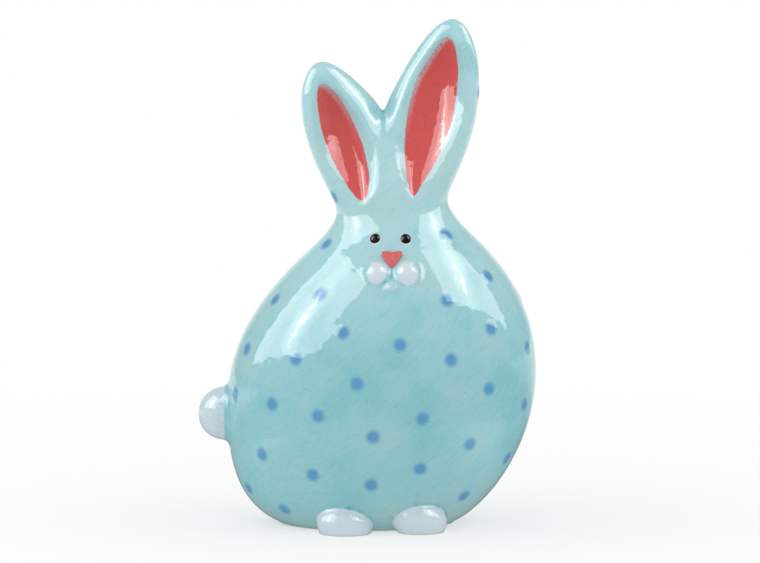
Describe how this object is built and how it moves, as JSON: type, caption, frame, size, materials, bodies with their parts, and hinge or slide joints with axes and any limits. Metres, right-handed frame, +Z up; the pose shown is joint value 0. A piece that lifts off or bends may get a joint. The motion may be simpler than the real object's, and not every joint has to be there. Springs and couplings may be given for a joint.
{
  "type": "ceramic rabbit figurine",
  "caption": "Glazed ceramic rabbit ornament: a leaning egg-shaped body with upright dished ears, a round tail, toe bumps and a small raised face, standing on a flat base.",
  "frame": {"origin": "on the ground, under the middle of the overall width and depth", "axes": "+Z up, -Y out of the rabbit's face, +X to the right of someone who looks at the face"},
  "size_m": [0.0896, 0.062, 0.1334],
  "materials": {
    "turquoise_glaze": "gloss, pale turquoise with soft blue dots",
    "coral_glaze": "gloss coral",
    "white_glaze": "gloss, cool white",
    "black_glaze": "gloss black"
  },
  "bodies": {
    "root": {"body_shell": "turquoise_glaze", "left_ear": "turquoise_glaze", "right_ear": "turquoise_glaze", "left_ear_lining": "coral_glaze", "right_ear_lining": "coral_glaze", "tail": "white_glaze", "left_toe": "white_glaze", "right_toe": "white_glaze", "left_cheek": "white_glaze", "right_cheek": "white_glaze", "chin": "white_glaze", "nose": "coral_glaze", "left_eye": "black_glaze", "right_eye": "black_glaze"}
  },
  "joints": []
}
